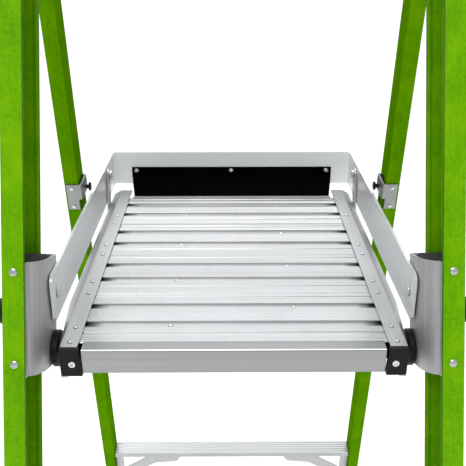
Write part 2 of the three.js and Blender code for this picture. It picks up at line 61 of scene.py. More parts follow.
NOSE = 12.7 * MM
DECK_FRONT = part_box("front_beam")[0][1] + NOSE
DECK_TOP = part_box("front_beam")[1][2] - 2 * MM
FRONT_LEAN = math.radians(17.6)
REAR_LEAN = math.radians(-14.8)
FLARE = math.radians(1.2)
FRONT_WEB = 26.4 * MM          # outer face of a front rail's web, from the rail's inner edge
STEP_RISE = 304.8
PLANK_PITCH = 127 * MM
PLANK_START = 9 * MM
PLANKS = 4


def deck_point(x, y, z):
    """A point given in millimetres from the middle of the platform's front edge."""
    return Vector((x * MM, DECK_FRONT + y * MM, DECK_TOP + z * MM))


def rail_matrix(side, x, y, lean):
    """The frame of a rail: X towards the right, Y rearwards across it, Z up along it."""
    along = Vector((-side * math.sin(FLARE), math.sin(lean) * math.cos(FLARE),
                    math.cos(lean) * math.cos(FLARE)))
    across = Vector((0, math.cos(lean), -math.sin(lean)))
    outwards = across.cross(along)
    turn = Matrix((outwards, across, along)).transposed().to_4x4()
    return Matrix.Translation(deck_point(side * x, y, 0)) @ turn


def front_rail(side):
    return rail_matrix(side, 251.2, -22.3, FRONT_LEAN)


def rear_rail(side):
    return rail_matrix(side, 253.1, 373.9, REAR_LEAN)


# ---- user settings ---------------------------------------------------------------------------


class LadderFinishes(bpy.types.PropertyGroup):
    """Colours of the ladder's finishes."""

    rail_green: bpy.props.FloatVectorProperty(
        name="Rail green", description="Colour of the glass-fibre rails",
        default=(0.152, 0.440, 0.0), size=3, subtype="COLOR", min=0, max=1)
    metal_grey: bpy.props.FloatVectorProperty(
        name="Aluminium", description="Colour of the bare extrusions",
        default=(0.60, 0.605, 0.61), size=3, subtype="COLOR", min=0, max=1)
    bracket_grey: bpy.props.FloatVectorProperty(
        name="Bracket grey", description="Colour of the brackets and stampings",
        default=(0.46, 0.46, 0.463), size=3, subtype="COLOR", min=0, max=1)
    moulding_black: bpy.props.FloatVectorProperty(
        name="Moulding black", description="Colour of caps, hubs and pads",
        default=(0.0042, 0.0042, 0.0045), size=3, subtype="COLOR", min=0, max=1)


class LadderSizes(bpy.types.PropertyGroup):
    """Sizes of the small hardware."""

    rivet_head: bpy.props.FloatProperty(
        name="Rivet head", description="Diameter of the domed rivet heads",
        default=7.4 * MM, unit="LENGTH")
    deck_rivet_head: bpy.props.FloatProperty(
        name="Deck rivet head", description="Diameter of the rivets along the side rails",
        default=5.4 * MM, unit="LENGTH")
    edge_round: bpy.props.FloatProperty(
        name="Edge round", description="Radius broken on the edges of cut metal",
        default=0.5 * MM, unit="LENGTH")


# ---- shader expressions ------------------------------------------------------------------------


class Term:
    """One value in a shader, which the usual arithmetic operators extend with Math nodes."""

    def __init__(self, graph, socket):
        self.graph = graph
        self.socket = socket

    def _math(self, operation, a, b):
        return self.graph.node("ShaderNodeMath", {"operation": operation}, {0: a, 1: b})[0]

    def __add__(self, other):
        return self._math("ADD", self, other)

    __radd__ = __add__

    def __sub__(self, other):
        return self._math("SUBTRACT", self, other)

    def __rsub__(self, other):
        return self._math("SUBTRACT", other, self)

    def __mul__(self, other):
        return self._math("MULTIPLY", self, other)

    __rmul__ = __mul__


class Outputs:
    """A node's outputs, by name or number, as terms."""

    def __init__(self, graph, node):
        self.graph = graph
        self.node = node

    def __getitem__(self, key):
        return Term(self.graph, self.node.outputs[key])


class Finish:
    """A material under construction."""

    def __init__(self, name, **constants):
        self.material = bpy.data.materials.new(name)
        self.material.use_nodes = True
        self.tree = self.material.node_tree
        self.shader = self.tree.nodes["Principled BSDF"]
        self.place = self.node("ShaderNodeTexCoord")["Object"]
        for socket, value in constants.items():
            self.shader.inputs[socket.replace("_", " ")].default_value = value

    @classmethod
    def resume(cls, material):
        """Takes up a finished material again, to lay something over it."""
        made = cls.__new__(cls)
        made.material = material
        made.tree = material.node_tree
        made.shader = made.tree.nodes["Principled BSDF"]
        made.place = made.node("ShaderNodeTexCoord")["Object"]
        return made

    def node(self, kind, settings=None, values=None):
        made = self.tree.nodes.new(kind)
        for key, value in (settings or {}).items():
            if key == "stops":
                while len(made.color_ramp.elements) < len(value):
                    made.color_ramp.elements.new(0.5)
                for element, (at, colour) in zip(made.color_ramp.elements, value):
                    element.position = at
                    element.color = colour
            else:
                setattr(made, key, value)
        for key, value in (values or {}).items():
            if isinstance(value, Term):
                self.tree.links.new(value.socket, made.inputs[key])
            else:
                made.inputs[key].default_value = value
        return Outputs(self, made)

    def stretched(self, scale, turn=(0, 0, 0)):
        """Object coordinates turned and then scaled, so that a pattern can run along a piece."""
        turned = self.node("ShaderNodeMapping", {}, {"Vector": self.place, "Rotation": turn})["Vector"]
        return self.node("ShaderNodeMapping", {}, {"Vector": turned, "Scale": scale})["Vector"]

    def noise(self, vector, scale, detail=2.0, roughness=0.5):
        return self.node("ShaderNodeTexNoise", {}, {
            "Vector": vector, "Scale": scale, "Detail": detail, "Roughness": roughness})["Fac"]

    def ramp(self, factor, low, high):
        """0 below low, 1 above high, straight between."""
        return self.node("ShaderNodeMapRange", {"clamp": True}, {
            "Value": factor, "From Min": low, "From Max": high, "To Min": 0.0, "To Max": 1.0})["Result"]

    def blend(self, factor, a, b, kind="MIX"):
        """A colour mix of a and b."""
        made = self.tree.nodes.new("ShaderNodeMix")
        made.data_type = "RGBA"
        made.blend_type = kind
        for socket, value in zip((made.inputs[0], made.inputs[6], made.inputs[7]), (factor, a, b)):
            if isinstance(value, Term):
                self.tree.links.new(value.socket, socket)
            elif isinstance(value, (int, float)):
                socket.default_value = value
            else:
                socket.default_value = (*value[:3], 1)
        return Term(self, made.outputs[2])

    def feed(self, socket, term):
        self.tree.links.new(term.socket, self.shader.inputs[socket])

    def bump(self, height, distance, strength=1.0):
        normal = self.node("ShaderNodeBump", {}, {
            "Height": height, "Distance": distance, "Strength": strength})["Normal"]
        self.feed("Normal", normal)


def tinted(colour, factor):
    return tuple(min(1.0, c * factor) for c in colour)


# ---- finishes ------------------------------------------------------------------------------------


def glass_fibre(name, colour, lean, sheen=0.10, painted_web_shade=1.0):
    """Pultruded rail: a mottled fibre mat and faint lengthwise streaks under a satin resin skin, with
    painted shade on its webs.
    """
    made = Finish(name, Specular_IOR_Level=sheen)
    along = made.stretched((1, 1, 0.05), (lean, 0, 0))
    streaks = made.noise(along, 420, 3, 0.6)
    mat = made.noise(made.place, 240, 4, 0.7)
    clouds = made.noise(made.place, 22, 4, 0.62)
    specks = made.ramp(made.noise(made.place, 620, 2), 0.60, 0.74)
    tone = mat * 0.42 + streaks * 0.22 + clouds * 0.36
    green = made.blend(made.ramp(tone, 0.36, 0.64), tinted(colour, 0.70), tinted(colour, 1.20))
    yellowed = made.blend(made.ramp(clouds, 0.48, 0.72) * 0.45, green, (colour[0] * 1.6, colour[1], 0.0))
    # painted shade: faces turned sideways, the webs, are painted darker than the flanges, for the shade
    # inside the channel
    facing = made.node("ShaderNodeNewGeometry")["Normal"]
    across = made.node("ShaderNodeSeparateXYZ", {}, {"Vector": facing})["X"]
    web = made.ramp(made.node("ShaderNodeMath", {"operation": "ABSOLUTE"}, {0: across})[0], 0.6, 0.9)
    shaded = made.blend(web * (1 - painted_web_shade), yellowed, (0, 0, 0))
    made.feed("Base Color", made.blend(specks * 0.35, shaded, tinted(colour, 0.40)))
    made.feed("Roughness", 0.46 + mat * 0.16 + specks * 0.15)
    made.bump(mat * 0.6 + streaks * 0.4, 0.00022, 0.5)
    return made.material


def drawn_metal(name, colour, stretch, roughness=0.34, turn=(0, 0, 0), depth=0.00006, metallic=1.0):
    """Bare extruded or rolled metal with fine die lines along it and faint handling marks."""
    made = Finish(name, Metallic=metallic)
    along = made.stretched(stretch, turn)
    lines = made.noise(along, 1500, 3, 0.65)
    broad = made.noise(along, 130, 2)
    haze = made.noise(made.place, 9, 3, 0.55)
    grain = made.noise(made.place, 800, 2)
    tone = lines * 0.34 + broad * 0.34 + haze * 0.32
    lit = made.ramp(tone, 0.34, 0.66)
    made.feed("Base Color", made.blend(lit, tinted(colour, 0.87), tinted(colour, 1.08)))
    made.feed("Roughness", roughness + (lines - 0.5) * 0.14 + (haze - 0.5) * 0.12 + (grain - 0.5) * 0.08)
    made.bump(lines * 0.7 + grain * 0.3, depth, 0.4)
    return made.material


def speckled_metal(name, colour, stretch, roughness, turn, depth, metallic):
    """Tumbled metal: drawn lines with a fine grey speckle over them."""
    material = drawn_metal(name, colour, stretch, roughness, turn, depth, metallic)
    made = Finish.resume(material)
    speckle = made.ramp(made.noise(made.place, 520, 3, 0.7), 0.40, 0.66)
    lines = made.ramp(made.noise(made.stretched(stretch, turn), 210, 2), 0.50, 0.70)
    clean = Term(made, made.shader.inputs["Base Color"].links[0].from_socket)
    dulled = made.blend(speckle * 0.34, clean, tinted(colour, 0.62))
    made.feed("Base Color", made.blend(lines * 0.30, dulled, tinted(colour, 1.45)))
    return material


def bar_metal(name, colour, stretch, roughness, metallic):
    """Rolled bar whose crossbar is painted near white and less metallic than its legs, a painted highlight
    for the light it catches.
    """
    material = drawn_metal(name, colour, stretch, roughness, metallic=metallic)
    made = Finish.resume(material)
    rearwards = made.node("ShaderNodeSeparateXYZ", {}, {"Vector": made.place})["Y"]
    # painted highlight: the crossbar's colour goes near white and its metal goes dull
    crossbar = made.ramp(rearwards, DECK_FRONT + 588 * MM, DECK_FRONT + 598 * MM)
    clean = Term(made, made.shader.inputs["Base Color"].links[0].from_socket)
    made.feed("Base Color", made.blend(crossbar, clean, (0.97, 0.975, 0.98)))
    made.feed("Metallic", metallic - crossbar * (metallic - 0.04))
    return material


def beam_metal(name, colour, stretch, roughness):
    """Drawn front beam with a painted highlight, a thin near-white band, along its upper front edge."""
    material = drawn_metal(name, colour, stretch, roughness)
    made = Finish.resume(material)
    place = made.node("ShaderNodeSeparateXYZ", {}, {"Vector": made.place})
    front = DECK_FRONT - NOSE
    # painted highlight: a thin near-white band along the beam's top front edge
    lip_highlight = made.ramp(place["Z"], DECK_TOP + 0.7 * MM, DECK_TOP + 1.2 * MM)
    behind = made.ramp(place["Y"], front + 1.5 * MM, front + 2.1 * MM)
    clean = Term(made, made.shader.inputs["Base Color"].links[0].from_socket)
    made.feed("Base Color", made.blend(lip_highlight - lip_highlight * behind, clean, (0.98, 0.98, 0.98)))
    return material


def plank_metal(name, colour):
    """Drawn metal whose groove floors are painted a little darker as painted shade, and nearly black
    beside the side rails as their painted shadow.
    """
    material = drawn_metal(name, colour, (0.003, 1, 1), 0.30)
    made = Finish.resume(material)
    place = made.node("ShaderNodeSeparateXYZ", {}, {"Vector": made.place})
    sideways = made.node("ShaderNodeMath", {"operation": "ABSOLUTE"}, {0: place["X"]})[0]
    # painted shadow: groove floors near the side rails are painted nearly black
    rail_shadow = made.ramp(sideways + made.noise(made.place, 60, 2) * 0.012, 0.173, 0.194)
    deep = made.ramp(place["Z"] * -1 + DECK_TOP, 0.9 * MM, 2.0 * MM)
    # painted shade: every groove floor is painted a little darker
    floor = deep * 0.03
    groove_shade = made.node("ShaderNodeMath", {"operation": "MAXIMUM"}, {0: rail_shadow * deep * 0.97, 1: floor})[0]
    clean = Term(made, made.shader.inputs["Base Color"].links[0].from_socket)
    made.feed("Base Color", made.blend(groove_shade, clean, (0.01, 0.01, 0.01)))
    return material


def grained_plastic(name, colour, roughness=0.5):
    """Moulded plastic with a fine spark-eroded grain."""
    made = Finish(name, Specular_IOR_Level=0.2)
    grain = made.noise(made.place, 1300, 2)
    wear = made.noise(made.place, 40, 5, 0.65)
    made.feed("Base Color", made.blend(made.ramp(wear, 0.45, 0.8) * 0.5, colour, tinted(colour, 2.2)))
    made.feed("Roughness", roughness + (wear - 0.5) * 0.25 + (grain - 0.5) * 0.1)
    made.bump(grain, 0.00018, 0.6)
    return made.material


def black_rubber(name, colour):
    """Matt rubber with faint crosswise ribs from its mould."""
    made = Finish(name, Specular_IOR_Level=0.0)
    fine = made.noise(made.stretched((0.05, 1, 1)), 900, 2)
    dust = made.noise(made.place, 60, 4, 0.6)
    made.feed("Base Color", made.blend(made.ramp(dust, 0.5, 0.85) * 0.4, colour, tinted(colour, 3)))
    made.feed("Roughness", 0.62 + (dust - 0.5) * 0.3)
    made.bump(fine * 0.6 + dust * 0.4, 0.0002, 0.6)
    return made.material


def make_finishes():
    """Every finish of the ladder, by name. Stretches are (x, y, z): small means along the lines."""
    pick = bpy.context.scene.ladder_finishes
    green = tuple(pick.rail_green)
    metal = tuple(pick.metal_grey)
    grey = tuple(pick.bracket_grey)
    black = tuple(pick.moulding_black)
    return {
        "front_green": glass_fibre("front_rail_glass_fibre", tinted(green, 0.90), FRONT_LEAN, 0.05, 0.40),
        # painted shade: the rear rails' glass fibre is a darker copy of the front rails' green
        "rear_green": glass_fibre("rear_rail_glass_fibre_shaded", tinted(green, 0.66), REAR_LEAN, 0.0, 0.74),
        "metal_x": drawn_metal("extrusion_lines_across", tinted(metal, 0.86), (0.003, 1, 1)),
        "metal_y": drawn_metal("extrusion_lines_front_to_back", tinted(metal, 0.86), (1, 0.003, 1), 0.36),
        "beam": beam_metal("front_beam_lines", tinted(metal, 0.54), (0.003, 1, 1), 0.32),
        "plank": plank_metal("plank_extrusion", tinted(metal, 0.89)),
        "bar": bar_metal("rolled_bar", tinted(metal, 1.24), (1, 0.01, 1), 0.36, 0.72),
        "bracket": speckled_metal("bracket_brushed", grey, (1, 1, 0.012), 0.50,
                                  (FRONT_LEAN, 0, 0), 0.00012, 0.6),
        "steel": drawn_metal("satin_stamping", tinted(grey, 1.15), (1, 1, 0.3), 0.42),
        "rivet": drawn_metal("rivet_metal", (0.66, 0.66, 0.66), (1, 1, 1), 0.24),
        "black": grained_plastic("black_moulding", black),
        "hub": grained_plastic("hub_moulding", tinted(black, 1.3), 0.42),
        "insert": grained_plastic("insert_moulding", tinted(black, 8), 0.6),
        "stamping": drawn_metal("bracket_stamping", tinted(grey, 0.74), (1, 1, 0.3), 0.46),
        "rubber": black_rubber("black_rubber", tinted(black, 0.35)),
    }


def studio_world():
    """A soft white room: brighter behind and above the ladder, dimmer in front of it."""
    world = bpy.data.worlds.new("studio")
    world.use_nodes = True
    nodes, links = world.node_tree.nodes, world.node_tree.links
    direction = nodes.new("ShaderNodeTexCoord").outputs["Generated"]
    split = nodes.new("ShaderNodeSeparateXYZ")
    links.new(direction, split.inputs[0])
    depth = nodes.new("ShaderNodeMapRange")
    depth.interpolation_type = "SMOOTHSTEP"
    for key, value in {"From Min": -0.7, "From Max": 0.5, "To Min": 0.60, "To Max": 1.46}.items():
        depth.inputs[key].default_value = value
    links.new(split.outputs["Y"], depth.inputs["Value"])
    height = nodes.new("ShaderNodeMapRange")
    for key, value in {"From Min": 0.0, "From Max": 1.0, "To Min": 0.85, "To Max": 1.2}.items():
        height.inputs[key].default_value = value
    links.new(split.outputs["Z"], height.inputs["Value"])
    strength = nodes.new("ShaderNodeMath")
    strength.operation = "MULTIPLY"
    links.new(depth.outputs["Result"], strength.inputs[0])
    links.new(height.outputs["Result"], strength.inputs[1])
    links.new(strength.outputs[0], nodes["Background"].inputs["Strength"])
    nodes["Background"].inputs["Color"].default_value = (0.97, 0.985, 1.0, 1)
    return world


FINISHES = {}


def finish_of(node):
    """The finish of a CAD node, by its name."""
    starts = (
        (("front_rail",), "front_green"), (("rear_rail",), "rear_green"),
        (("platform_bracket",), "bracket"), (("platform_side_rail", "deck_stiffener"), "metal_y"),
        (("guard_bar",), "bar"), (("platform_hub",), "hub"), (("rear_bracket",), "stamping"),
        (("deck_plank",), "plank"),
        (("front_beam",), "beam"),
        (("rear_beam", "front_step_", "rear_brace"), "metal_x"),
        (("top_cap", "corner_cap", "guard_glide"), "black"),
        (("front_foot_pad", "rear_foot_pad", "rear_flap"), "rubber"),
        (("guard_pivot_bolt", "link_bolt", "top_hinge_pin"), "rivet"),
    )
    for words, key in starts:
        if node.startswith(words):
            return FINISHES[key]
    return FINISHES["steel"]


# ---- modelling helpers ------------------------------------------------------------------------------


def only(piece):
    """Deselects everything, then selects and activates one object."""
    if bpy.context.object and bpy.context.object.mode != "OBJECT":
        bpy.ops.object.mode_set(mode="OBJECT")
    bpy.ops.object.select_all(action="DESELECT")
    piece.select_set(True)
    bpy.context.view_layer.objects.active = piece
    return piece


def edit(piece):
    """Enters edit mode on one object, with nothing selected."""
    only(piece)
    bpy.ops.object.mode_set(mode="EDIT")
    bpy.ops.mesh.select_mode(type="FACE")
    bpy.ops.mesh.select_all(action="DESELECT")


def pick_faces(piece, test):
    """In edit mode, selects the faces that pass test(centre, normal)."""
    bpy.ops.object.mode_set(mode="OBJECT")
    for face in piece.data.polygons:
        face.select = test(face.center, face.normal)
    bpy.ops.object.mode_set(mode="EDIT")


def pick_edges(piece, test):
    """In edit mode, selects the edges that pass test(one end, other end)."""
    bpy.ops.object.mode_set(mode="OBJECT")
    mesh = piece.data
    for item in (*mesh.polygons, *mesh.vertices, *mesh.edges):
        item.select = False
    for line in mesh.edges:
        line.select = test(*(mesh.vertices[i].co for i in line.vertices))
    bpy.ops.object.mode_set(mode="EDIT")
    bpy.ops.mesh.select_mode(type="EDGE")


def done(piece):
    """Leaves edit mode with the piece's place in its mesh."""
    only(piece)
    bpy.ops.object.transform_apply(location=True, rotation=True, scale=True)
    return piece


def apply_modifier(piece, kind, **settings):
    only(piece)
    modifier = piece.modifiers.new(kind.lower(), kind)
    for key, value in settings.items():
        setattr(modifier, key, value)
    bpy.ops.object.modifier_apply(modifier=modifier.name)


def soften(piece, degrees=32):
    only(piece)
    bpy.ops.object.shade_smooth_by_angle(angle=math.radians(degrees))


def fit_out(piece, name, finish, body, replaces=()):
    """Names a piece, gives it its finish and joins it to the frame."""
    piece.name = name
    piece.data.name = name
    piece.data.materials.clear()
    piece.data.materials.append(finish)
    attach(piece, body)
    if replaces:
        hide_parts(*replaces)
    return piece


def refined(node, round_edge, segments=2):
    """A merged copy of a CAD node with its edges broken, which stands for the node."""
    source = frame["nodes"][node]
    piece = source.copy()
    piece.data = source.data.copy()
    for key in list(piece.keys()):
        del piece[key]
    piece.parent = None
    piece.matrix_world = Matrix.Identity(4)
    bpy.context.scene.collection.objects.link(piece)
    only(piece)
    if piece.data.has_custom_normals:
        bpy.ops.mesh.customdata_custom_splitnormals_clear()
    bpy.ops.object.mode_set(mode="EDIT")
    bpy.ops.mesh.select_all(action="SELECT")
    bpy.ops.mesh.remove_doubles(threshold=2e-6)
    bpy.ops.mesh.dissolve_limited(angle_limit=math.radians(0.6))
    bpy.ops.object.mode_set(mode="OBJECT")
    if round_edge > 0:
        apply_modifier(piece, "BEVEL", width=round_edge, segments=segments, limit_method="ANGLE",
                       angle_limit=math.radians(20), use_clamp_overlap=True, miter_outer="MITER_ARC")
    soften(piece, 31)
    apply_modifier(piece, "WEIGHTED_NORMAL", keep_sharp=True, weight=100)
    return fit_out(piece, f"{node}_part", finish_of(node), BODY_OF[node], (node,))


def aimed(point, normal, turn=0.0):
    """Places something modelled on its Z axis at a point, facing along a normal."""
    facing = Vector(normal).normalized().to_track_quat("Z", "Y").to_matrix().to_4x4()
    return Matrix.Translation(point) @ facing @ Matrix.Rotation(turn, 4, "Z")


def scatter(template, places, name, finish, body):
    """Copies a small part to every place, each with its own mesh, and joins the copies."""
    copies = []
    for place in places:
        twin = template.copy()
        twin.data = template.data.copy()
        twin.data.transform(place)
        bpy.context.scene.collection.objects.link(twin)
        copies.append(twin)
    only(copies[0])
    for twin in copies:
        twin.select_set(True)
    bpy.ops.object.join()
    return fit_out(bpy.context.object, name, finish, body)


def drop(template):
    bpy.data.objects.remove(template, do_unlink=True)


def rivet_head(diameter, height, sides=20):
    """A blind rivet's low dome, with the broken mandrel sunk in its middle."""
    radius = diameter / 2
    bpy.ops.object.select_all(action="DESELECT")
    bpy.ops.mesh.primitive_cylinder_add(vertices=sides, radius=radius, depth=height,
                                        location=(0, 0, height / 2))
    head = done(bpy.context.object)
    edit(head)
    pick_edges(head, lambda a, b: min(a.z, b.z) > height * 0.9)
    bpy.ops.mesh.bevel(offset=height * 0.72, segments=4, profile=0.62)
    pick_faces(head, lambda centre, normal: normal.z > 0.99 and centre.z > height * 0.9)
    bpy.ops.mesh.select_mode(type="FACE")
    bpy.ops.mesh.inset(thickness=radius * 0.26, depth=height * 0.06)
    bpy.ops.mesh.inset(thickness=radius * 0.12, depth=-height * 0.34)
    bpy.ops.mesh.inset(thickness=radius * 0.10, depth=height * 0.12)
    bpy.ops.object.mode_set(mode="OBJECT")
    soften(head, 40)
    return head


def cross_screw(diameter, height, sides=24):
    """A pan-head screw with a cross recess."""
    radius = diameter / 2
    bpy.ops.object.select_all(action="DESELECT")
    bpy.ops.mesh.primitive_cylinder_add(vertices=sides, radius=radius, depth=height,
                                        location=(0, 0, height / 2))
    head = done(bpy.context.object)
    edit(head)
    pick_edges(head, lambda a, b: min(a.z, b.z) > height * 0.9)
    bpy.ops.mesh.bevel(offset=height * 0.6, segments=4, profile=0.6)
    bpy.ops.object.mode_set(mode="OBJECT")
    for turn in (0.0, math.pi / 2):
        bpy.ops.object.select_all(action="DESELECT")
        bpy.ops.mesh.primitive_cube_add(size=1, location=(0, 0, height), rotation=(0, 0, turn))
        slot = bpy.context.object
        slot.scale = (radius * 1.15, radius * 0.24, height * 1.1)
        done(slot)
        apply_modifier(head, "BOOLEAN", operation="DIFFERENCE", object=slot, solver="EXACT")
        drop(slot)
    soften(head, 34)
    return head


# ---- the ladder's pieces --------------------------------------------------------------------------------


class LADDER_OT_finishes(bpy.types.Operator):
    """Make every finish of the ladder"""

    bl_idname = "ladder.finishes"
    bl_label = "Finishes"

    def execute(self, context):
        FINISHES.clear()
        FINISHES.update(make_finishes())
        return {"FINISHED"}


class LADDER_OT_rails_and_metalwork(bpy.types.Operator):
    """Break the edges of the rails, extrusions, bars and stampings, and give them their finish"""

    bl_idname = "ladder.rails_and_metalwork"
    bl_label = "Rails and metalwork"

    def execute(self, context):
        edge = context.scene.ladder_sizes.edge_round
        rounds = (
            ("front_rail", 1.1 * MM), ("rear_rail", 1.0 * MM), ("guard_bar", 0.6 * MM),
            ("platform_bracket", 0.5 * MM), ("top_cap", 1.6 * MM), ("platform_hub", 0.8 * MM),
            ("front_foot_pad", 1.4 * MM), ("rear_foot_pad", 1.4 * MM),
            ("front_beam", 1.1 * MM), ("deck_plank", 0.15 * MM), ("front_step_", 0.25 * MM),
            ("rear_brace", 0.25 * MM),
        )
        for node in sorted(frame["nodes"]):
            if node.startswith(("corner_cap", "rear_flap")):
                continue
            width = next((w for start, w in rounds if node.startswith(start)), edge)
            refined(node, width)
        return {"FINISHED"}


class LADDER_OT_rail_rivets(bpy.types.Operator):
    """Rivet the brackets, steps, hinge plates, shoes and braces to the rails"""

    bl_idname = "ladder.rail_rivets"
    bl_label = "Rail rivets"

    def execute(self, context):
        template = rivet_head(context.scene.ladder_sizes.rivet_head, 2.3 * MM)
        front, rear = [], []
        deck_height = DECK_TOP / MM
        for _, side in SIDES:
            at = front_rail(side)
            # bracket rivets through the front flange, and the web rivets beside them
            for along in (-10, 102):
                front.append(at @ aimed(Vector((side * 12.4 * MM, 0, along * MM)), (0, -1, 0)))
            for along in (-14, 88):
                for across in (22, 58):
                    point = Vector((side * FRONT_WEB, across * MM, along * MM))
                    front.append(at @ aimed(point, (side, 0, 0)))
            for number in range(1, 4):
                level = (STEP_RISE * number - deck_height - 8) / math.cos(FRONT_LEAN)
                front.append(at @ aimed(Vector((side * 13 * MM, 0, (level - 4) * MM)), (0, -1, 0)))
                front.append(at @ aimed(Vector((side * 13 * MM, 80.5 * MM, (level + 20) * MM)), (0, 1, 0)))
                for across, drop_by in ((22, 0), (58, 12)):
                    point = Vector((side * FRONT_WEB, across * MM, (level + drop_by) * MM))
                    front.append(at @ aimed(point, (side, 0, 0)))
            for across, along in ((28, 592), (62, 592), (28, 574), (62, 574)):
                front.append(at @ aimed(Vector((side * 29.8 * MM, across * MM, along * MM)), (side, 0, 0)))
            at = rear_rail(side)
            for along in (46, 82):
                point = Vector((side * 10 * MM, -3 * MM, along * MM))
                rear.append(at @ aimed(point, (0, -1, 0)) @ Matrix.Scale(0.8, 4))
            for level in (-632, -1040):
                along = (level + 4) / math.cos(REAR_LEAN)
                for across, drop_by in ((14, 0), (32, 0), (24, -78)):
                    point = Vector((side * 4 * MM, across * MM, (along + drop_by) * MM))
                    rear.append(at @ aimed(point, (side, 0, 0)))
        scatter(template, front, "front_rail_rivets", FINISHES["rivet"], "front_frame")
        scatter(template, rear, "rear_rail_rivets", FINISHES["rivet"], "rear_frame")
        drop(template)
        return {"FINISHED"}


class LADDER_OT_deck_rivets(bpy.types.Operator):
    """Rivet the planks to the side rails and to the stiffeners under them"""

    bl_idname = "ladder.deck_rivets"
    bl_label = "Deck rivets"

    def execute(self, context):
        template = rivet_head(context.scene.ladder_sizes.deck_rivet_head, 1.4 * MM, 16)
        rail_row, rail_top = 202, 3.5
        stiffener_row, plank_top = 82, -2.6
        rear_beam = 513
        places = []
        for number in range(PLANKS):
            start = (PLANK_START + PLANK_PITCH * number) / MM
            for _, side in SIDES:
                for along in (-4, 31):
                    places.append(aimed(deck_point(side * rail_row, start + along, rail_top), (0, 0, 1)))
            places.append(aimed(deck_point(-stiffener_row, start + 45, plank_top), (0, 0, 1)))
            places.append(aimed(deck_point(stiffener_row, start + 92, plank_top), (0, 0, 1)))
        for _, side in SIDES:
            places.append(aimed(deck_point(side * rail_row, rear_beam, rail_top), (0, 0, 1)))
        scatter(template, places, "deck_rivets", FINISHES["rivet"], "platform")
        drop(template)
        # painted shade: a thin black torus around each deck rivet head stands in for the shade in the
        # crease around it
        radius = context.scene.ladder_sizes.deck_rivet_head / 2
        bpy.ops.object.select_all(action="DESELECT")
        bpy.ops.mesh.primitive_torus_add(major_radius=radius, minor_radius=0.3 * MM,
                                         major_segments=20, minor_segments=6)
        shadow_ring = done(bpy.context.object)
        soften(shadow_ring, 60)
        scatter(shadow_ring, places, "deck_rivet_shadow_rings", FINISHES["black"], "platform")
        drop(shadow_ring)
        return {"FINISHED"}


def insert_block(outline, low, high, crown):
    """An upright block with a given outline, whose top rises in a low crown along the rail's depth."""
    front, back = 9.6, 105.6
    strip, first_cut, last_cut = 4, 12.3, 100.3
    least_height = 0.6
    bpy.ops.object.select_all(action="DESELECT")
    bpy.ops.mesh.primitive_circle_add(vertices=len(outline), radius=0.1, fill_type="NGON")
    block = done(bpy.context.object)
    for vertex, (x, y) in zip(block.data.vertices, outline):
        vertex.co = (x * MM, y * MM, low * MM)
    edit(block)
    bpy.ops.mesh.select_all(action="SELECT")
    bpy.ops.mesh.extrude_region_move(TRANSFORM_OT_translate={"value": (0, 0, (high - low) * MM)})
    for number in range(round((last_cut - first_cut) / strip) + 1):
        bpy.ops.mesh.select_all(action="SELECT")
        bpy.ops.mesh.bisect(plane_co=(0, (first_cut + strip * number) * MM, 0), plane_no=(0, 1, 0))
    bpy.ops.mesh.select_all(action="SELECT")
    bpy.ops.mesh.normals_make_consistent(inside=False)
    bpy.ops.object.mode_set(mode="OBJECT")
    for vertex in block.data.vertices:
        if vertex.co.z > (low + 0.1) * MM:
            along = (vertex.co.y / MM - front) / (back - front)
            rise = math.sin(math.pi * min(1.0, max(0.0, along))) ** 1.6
            vertex.co.z = max(low + least_height, high + crown * rise) * MM
    return block


class LADDER_OT_bracket_inserts(bpy.types.Operator):
    """Close the upper end of each hollow platform bracket with a dark insert"""

    bl_idname = "ladder.bracket_inserts"
    bl_label = "Bracket inserts"

    def execute(self, context):
        # outlines in the rail's frame, in millimetres: the plug fills the bracket's hollow, and the
        # lid over it reaches across the rail's channel to its web
        front_wall = [(4.9, 31.4), (-0.6, 33.4), (-4.6, 39.5), (-7.4, 47.5), (-9.2, 57), (-10.1, 68)]
        plug_outline = front_wall + [(-10.1, 105.2), (-1.6, 105.2), (-1.6, 84), (-4, 84), (-4, 70.6),
                                     (14.6, 70.6), (14.6, 9.4), (8.4, 9.4)]
        lid_outline = front_wall + [(-10.1, 84), (-4, 84), (-4, 75), (21.6, 75), (21.6, 6.2), (4.6, 6.2)]
        for word, side in SIDES:
            plug = insert_block(plug_outline, 88, 105.1, 11.5)
            lid = insert_block(lid_outline, 110.3, 105.5, 11.5)
            only(lid)
            plug.select_set(True)
            bpy.ops.object.join()
            lid.data.transform(front_rail(side) @ Matrix.Diagonal((side, 1, 1, 1)))
            if side < 0:
                lid.data.flip_normals()
            soften(lid, 31)
            fit_out(lid, f"bracket_insert_{word}", FINISHES["insert"], "front_frame")
        return {"FINISHED"}


class LADDER_OT_rail_bosses(bpy.types.Operator):
    """Fix a black boss to the outer side of each front rail, between the bracket's rivets"""

    bl_idname = "ladder.rail_bosses"
    bl_label = "Rail bosses"

    def execute(self, context):
        radius, height = 14 * MM, 16 * MM
        bpy.ops.object.select_all(action="DESELECT")
        bpy.ops.mesh.primitive_cylinder_add(vertices=40, radius=radius, depth=height,
                                            location=(0, 0, height / 2))
        boss = done(bpy.context.object)
        edit(boss)
        pick_edges(boss, lambda a, b: min(a.z, b.z) > height * 0.9)
        bpy.ops.mesh.bevel(offset=2.4 * MM, segments=4, profile=0.5)
        pick_faces(boss, lambda centre, normal: normal.z > 0.99 and centre.z > height * 0.9)
        bpy.ops.mesh.select_mode(type="FACE")
        bpy.ops.mesh.inset(thickness=3.2 * MM, depth=0)
        bpy.ops.mesh.inset(thickness=0.8 * MM, depth=-1.6 * MM)
        bpy.ops.object.mode_set(mode="OBJECT")
        soften(boss, 31)
        for word, side in SIDES:
            place = front_rail(side) @ aimed(Vector((side * FRONT_WEB, 40 * MM, 47 * MM)), (side, 0, 0))
            scatter(boss, [place], f"rail_boss_{word}", FINISHES["black"], "front_frame")
        drop(boss)
        return {"FINISHED"}


